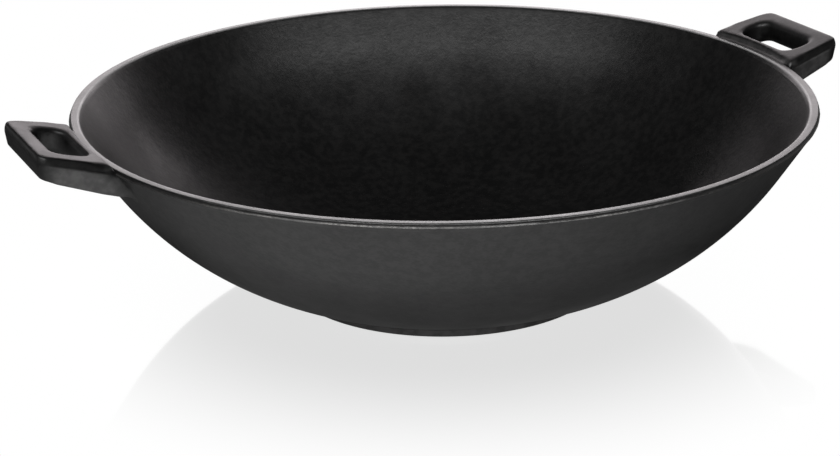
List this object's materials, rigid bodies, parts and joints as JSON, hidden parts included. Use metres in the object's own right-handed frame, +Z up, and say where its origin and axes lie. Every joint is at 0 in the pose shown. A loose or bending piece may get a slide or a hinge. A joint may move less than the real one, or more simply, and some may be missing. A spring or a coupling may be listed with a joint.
{
  "type": "cast iron wok",
  "caption": "Deep round-sided cast iron wok with a flat foot, a flat-topped rim and upswept cast loop handles on opposite sides, for frying and braising on a hob.",
  "frame": {"origin": "centre of the foot's underside, on the surface that the wok stands on", "axes": "+Z up along the bowl's axis, +X out along the right handle, the picture's farther one, so the handles lie along X"},
  "size_m": [0.4192, 0.36, 0.1035],
  "materials": {
    "seasoned_iron": "black seasoned cast iron, satin, with the fine grain of the sand mould"
  },
  "bodies": {
    "root": {"bowl": "seasoned_iron", "rim": "seasoned_iron", "foot": "seasoned_iron", "left_handle": "seasoned_iron", "right_handle": "seasoned_iron"}
  },
  "joints": []
}
